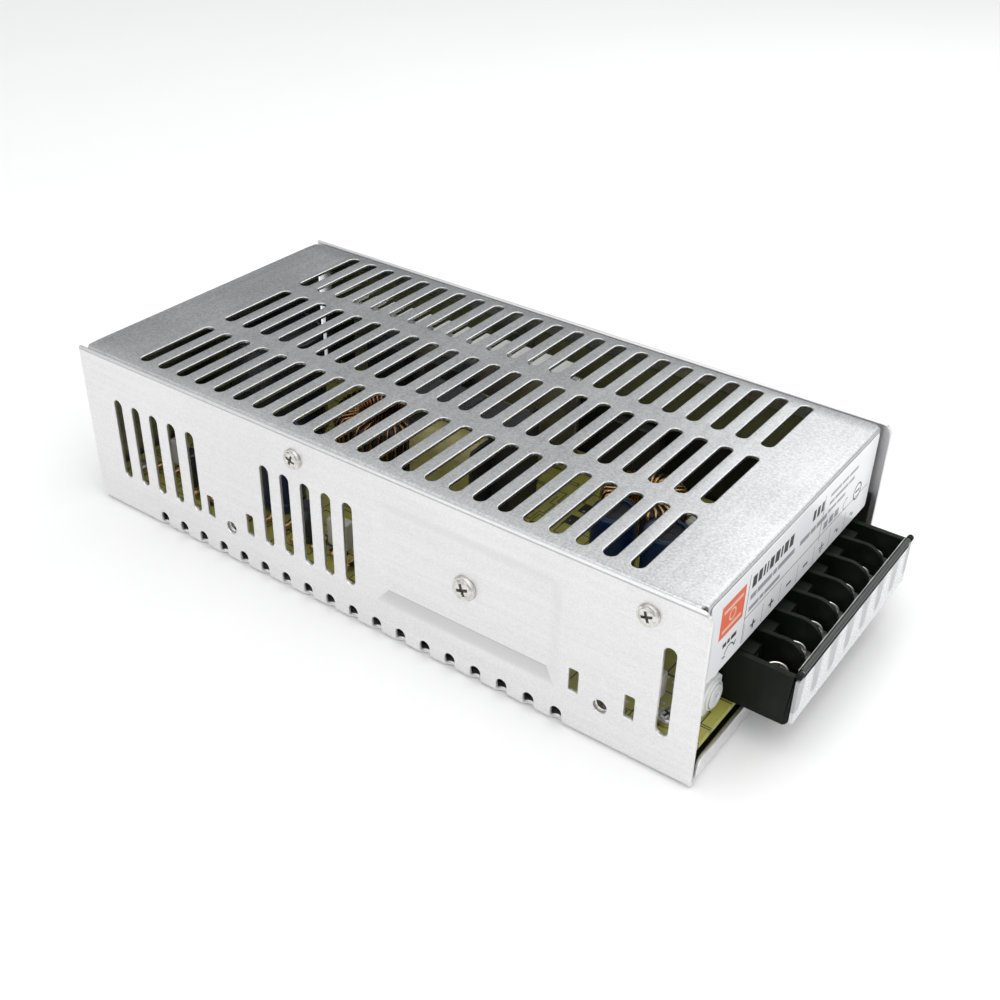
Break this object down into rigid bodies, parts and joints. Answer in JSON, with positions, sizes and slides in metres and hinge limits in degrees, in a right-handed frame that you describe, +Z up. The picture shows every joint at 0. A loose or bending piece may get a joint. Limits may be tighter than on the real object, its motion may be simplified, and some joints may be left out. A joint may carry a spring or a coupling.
{
  "type": "enclosed switching power supply",
  "caption": "Chassis-mount AC to DC power supply in a slotted aluminium case, with a screw terminal block, clear terminal flap and output trimmer.",
  "frame": {"origin": "bottom centre of the whole object's box, which includes the terminal block that stands out of the case and the screw heads", "axes": "+X towards the terminal end, +Y towards the mains-side wall, +Z up out of the slotted cover"},
  "size_m": [0.2132, 0.1014, 0.05],
  "materials": {
    "chassis_aluminium": "matte, near-white aluminium sheet with a fine grain",
    "cover_aluminium": "fine-grained matte aluminium sheet",
    "black_film": "thin black insulating sheet",
    "circuit_board": "olive laminate with dark printing",
    "zinc_screw": "zinc plated",
    "terminal_moulding": "black moulding with a slight sheen",
    "contact_plate": "tin-plated brass",
    "terminal_steel": "nickel plated",
    "shield_plastic": "clear to milky moulded flap",
    "trimmer_body": "white nylon",
    "trimmer_rotor": "pale translucent rotor",
    "lamp_lens": "milky diffusing lens",
    "label_film": "silver-grey printed film",
    "bare_aluminium": "mill finish",
    "ferrite": "dark grey sintered ferrite",
    "winding_tape": "yellow polyester tape",
    "epoxy_package": "black moulded package",
    "dark_sleeve": "dark shrink sleeve",
    "blue_sleeve": "blue shrink sleeve",
    "copper_winding": "enamelled copper wire",
    "gold_winding": "brown-gold enamelled wire",
    "capacitor_case": "yellow box",
    "fuse_body": "pale ceramic tube"
  },
  "bodies": {
    "case": {"base_chassis": "chassis_aluminium", "top_cover": "cover_aluminium", "insulating_film": "black_film", "circuit_board": "circuit_board", "front_label": "label_film", "cover_screw_1": "zinc_screw", "cover_screw_2": "zinc_screw", "cover_screw_3": "zinc_screw", "cover_screw_4": "zinc_screw", "heat_bar_screw": "zinc_screw", "board_screw_1": "zinc_screw", "board_screw_2": "zinc_screw", "board_screw_3": "zinc_screw", "board_screw_4": "zinc_screw", "terminal_block": "terminal_moulding", "terminal_contact_1": "contact_plate", "terminal_contact_2": "contact_plate", "terminal_contact_3": "contact_plate", "terminal_contact_4": "contact_plate", "terminal_contact_5": "contact_plate", "terminal_contact_6": "contact_plate", "terminal_contact_7": "contact_plate", "trimmer_body": "trimmer_body", "pilot_lamp": "lamp_lens", "output_heat_bar": "bare_aluminium", "switch_heatsink": "bare_aluminium", "transformer_core": "ferrite", "transformer_winding": "winding_tape", "output_rectifier_1": "epoxy_package", "output_rectifier_2": "epoxy_package", "power_switch": "epoxy_package", "boost_diode": "epoxy_package", "bridge_rectifier": "epoxy_package", "bulk_capacitor": "dark_sleeve", "output_capacitor_1": "blue_sleeve", "output_capacitor_2": "blue_sleeve", "output_capacitor_3": "blue_sleeve", "output_choke": "copper_winding", "boost_choke": "copper_winding", "line_filter_choke": "gold_winding", "line_capacitor": "capacitor_case", "line_fuse": "fuse_body"},
    "adjuster": {"trimmer_rotor": "trimmer_rotor"},
    "shield": {"terminal_shield": "shield_plastic"},
    "clamp_1": {"terminal_clamp_1": "terminal_steel"},
    "screw_1": {"terminal_screw_1": "terminal_steel"},
    "clamp_2": {"terminal_clamp_2": "terminal_steel"},
    "screw_2": {"terminal_screw_2": "terminal_steel"},
    "clamp_3": {"terminal_clamp_3": "terminal_steel"},
    "screw_3": {"terminal_screw_3": "terminal_steel"},
    "clamp_4": {"terminal_clamp_4": "terminal_steel"},
    "screw_4": {"terminal_screw_4": "terminal_steel"},
    "clamp_5": {"terminal_clamp_5": "terminal_steel"},
    "screw_5": {"terminal_screw_5": "terminal_steel"},
    "clamp_6": {"terminal_clamp_6": "terminal_steel"},
    "screw_6": {"terminal_screw_6": "terminal_steel"},
    "clamp_7": {"terminal_clamp_7": "terminal_steel"},
    "screw_7": {"terminal_screw_7": "terminal_steel"}
  },
  "joints": [
    {"name": "shield_flip", "type": "hinge", "parent": "case", "child": "shield", "pos_m": [0.1051, 0.00675, 0.0249], "axis": [0, -1, 0], "range_deg": [0, 258]},
    {"name": "adjuster_turn", "type": "hinge", "parent": "case", "child": "adjuster", "pos_m": [0.088, -0.0327, 0.0142], "axis": [1, 0, 0], "range_deg": [-105, 105]},
    {"name": "clamp_lift_1", "type": "slide", "parent": "case", "child": "clamp_1", "axis": [0, 0, 1], "range_m": [0, 0.0024]},
    {"name": "screw_turn_1", "type": "hinge", "parent": "clamp_1", "child": "screw_1", "pos_m": [0.0978, -0.02175, 0.0181], "axis": [0, 0, 1], "range_deg": [0, 1235.3]},
    {"name": "clamp_lift_2", "type": "slide", "parent": "case", "child": "clamp_2", "axis": [0, 0, 1], "range_m": [0, 0.0024]},
    {"name": "screw_turn_2", "type": "hinge", "parent": "clamp_2", "child": "screw_2", "pos_m": [0.0978, -0.01225, 0.0181], "axis": [0, 0, 1], "range_deg": [0, 1235.3]},
    {"name": "clamp_lift_3", "type": "slide", "parent": "case", "child": "clamp_3", "axis": [0, 0, 1], "range_m": [0, 0.0024]},
    {"name": "screw_turn_3", "type": "hinge", "parent": "clamp_3", "child": "screw_3", "pos_m": [0.0978, -0.00275, 0.0181], "axis": [0, 0, 1], "range_deg": [0, 1235.3]},
    {"name": "clamp_lift_4", "type": "slide", "parent": "case", "child": "clamp_4", "axis": [0, 0, 1], "range_m": [0, 0.0024]},
    {"name": "screw_turn_4", "type": "hinge", "parent": "clamp_4", "child": "screw_4", "pos_m": [0.0978, 0.00675, 0.0181], "axis": [0, 0, 1], "range_deg": [0, 1235.3]},
    {"name": "clamp_lift_5", "type": "slide", "parent": "case", "child": "clamp_5", "axis": [0, 0, 1], "range_m": [0, 0.0024]},
    {"name": "screw_turn_5", "type": "hinge", "parent": "clamp_5", "child": "screw_5", "pos_m": [0.0978, 0.01625, 0.0181], "axis": [0, 0, 1], "range_deg": [0, 1235.3]},
    {"name": "clamp_lift_6", "type": "slide", "parent": "case", "child": "clamp_6", "axis": [0, 0, 1], "range_m": [0, 0.0024]},
    {"name": "screw_turn_6", "type": "hinge", "parent": "clamp_6", "child": "screw_6", "pos_m": [0.0978, 0.02575, 0.0181], "axis": [0, 0, 1], "range_deg": [0, 1235.3]},
    {"name": "clamp_lift_7", "type": "slide", "parent": "case", "child": "clamp_7", "axis": [0, 0, 1], "range_m": [0, 0.0024]},
    {"name": "screw_turn_7", "type": "hinge", "parent": "clamp_7", "child": "screw_7", "pos_m": [0.0978, 0.03525, 0.0181], "axis": [0, 0, 1], "range_deg": [0, 1235.3]}
  ],
  "couplings": [
    {"joint": "screw_turn_1", "follows": "clamp_lift_1", "rad_per_m": 8976},
    {"joint": "screw_turn_2", "follows": "clamp_lift_2", "rad_per_m": 8976},
    {"joint": "screw_turn_3", "follows": "clamp_lift_3", "rad_per_m": 8976},
    {"joint": "screw_turn_4", "follows": "clamp_lift_4", "rad_per_m": 8976},
    {"joint": "screw_turn_5", "follows": "clamp_lift_5", "rad_per_m": 8976},
    {"joint": "screw_turn_6", "follows": "clamp_lift_6", "rad_per_m": 8976},
    {"joint": "screw_turn_7", "follows": "clamp_lift_7", "rad_per_m": 8976}
  ]
}
